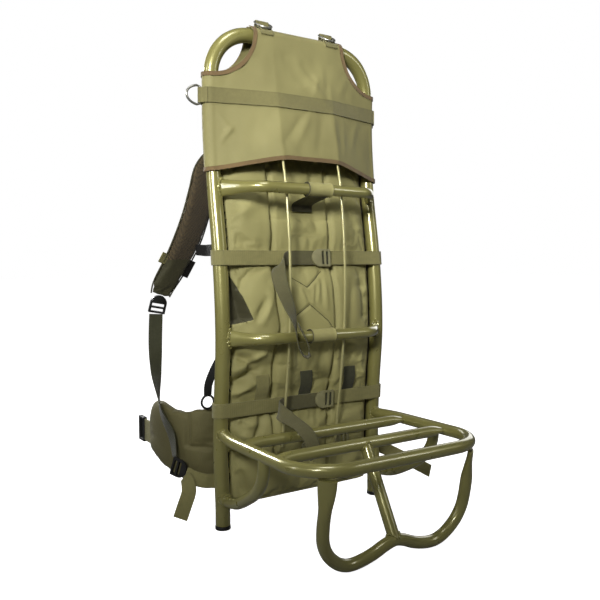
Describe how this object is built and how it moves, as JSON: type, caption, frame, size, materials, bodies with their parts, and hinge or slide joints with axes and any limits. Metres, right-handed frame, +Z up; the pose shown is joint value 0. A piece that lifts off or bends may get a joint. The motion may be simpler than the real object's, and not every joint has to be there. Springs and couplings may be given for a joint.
{
  "type": "pack frame",
  "caption": "Olive welded-tube pack frame with a fixed load shelf and stand, a cloth top cover, lashing straps and a padded shoulder and hip harness.",
  "frame": {"origin": "on the ground under the middle of the whole part's box", "axes": "+Z up, -Y towards the load and its shelf, +Y towards the wearer, +X right seen from the load side"},
  "size_m": [0.4676, 0.5618, 0.862],
  "materials": {
    "paint": "satin olive paint",
    "rod_paint": "satin pale olive paint",
    "nickel": "dull nickel",
    "cloth": "woven nylon",
    "tape": "woven edge tape",
    "webbing": "woven webbing",
    "mesh": "padded mesh",
    "black_webbing": "woven webbing",
    "buckle": "moulded",
    "black": "moulded"
  },
  "bodies": {
    "frame": {"main_hoop": "paint", "upper_crossbar": "paint", "middle_crossbar": "paint", "lower_crossbar": "paint", "shelf_rail": "paint", "rear_shelf_bar": "paint", "front_shelf_bar": "paint", "stand_loop": "paint", "stand_brace": "paint", "top_cover": "cloth", "hem_binding": "tape", "cover_strap": "webbing", "upper_wrap_strap": "webbing", "upper_ladder_lock": "buckle", "lower_wrap_strap": "webbing", "lower_ladder_lock": "buckle", "upper_strap_tail": "webbing", "lower_strap_tail": "webbing", "back_panel": "cloth", "back_pad": "mesh", "left_panel_loop": "webbing", "middle_panel_loop": "webbing", "right_panel_loop": "webbing", "middle_panel_buckle": "buckle", "right_panel_buckle": "buckle", "upper_sleeve": "cloth", "middle_sleeve": "cloth", "hip_belt": "cloth", "left_foot_cap": "black", "left_rod": "rod_paint", "left_strut": "paint", "left_corner_binding": "tape", "left_top_keeper": "webbing", "left_belt_buckle": "black", "left_belt_ring": "black", "left_shoulder_strap": "mesh", "left_shoulder_lock": "black", "left_side_webbing": "webbing", "left_lifter_strap": "black_webbing", "left_anchor_strap": "webbing", "left_anchor_lock": "black", "left_belt_tail": "webbing", "right_foot_cap": "black", "right_rod": "rod_paint", "right_strut": "paint", "right_corner_binding": "tape", "right_top_keeper": "webbing", "right_belt_buckle": "black", "right_belt_ring": "black", "right_shoulder_strap": "mesh", "right_shoulder_lock": "black", "right_side_webbing": "webbing", "right_lifter_strap": "black_webbing", "right_anchor_strap": "webbing", "right_anchor_lock": "black", "right_belt_tail": "webbing"},
    "left_side_ring": {"left_side_ring": "nickel"},
    "right_side_ring": {"right_side_ring": "nickel"},
    "left_top_ring": {"left_top_ring": "nickel"},
    "right_top_ring": {"right_top_ring": "nickel"}
  },
  "joints": [
    {"name": "left_side_ring_swing", "type": "hinge", "parent": "frame", "child": "left_side_ring", "pos_m": [-0.18927, 0.04075, 0.723], "axis": [0, 0, 1], "range_deg": [-70, 70]},
    {"name": "right_side_ring_swing", "type": "hinge", "parent": "frame", "child": "right_side_ring", "pos_m": [0.17433, 0.04075, 0.723], "axis": [0, 0, 1], "range_deg": [-123, 17]},
    {"name": "left_top_ring_swing", "type": "hinge", "parent": "frame", "child": "left_top_ring", "pos_m": [-0.07447, 0.03628, 0.8581], "axis": [-1, 0, 0], "range_deg": [0, 230]},
    {"name": "right_top_ring_swing", "type": "hinge", "parent": "frame", "child": "right_top_ring", "pos_m": [0.05953, 0.03628, 0.8581], "axis": [-1, 0, 0], "range_deg": [0, 230]}
  ]
}
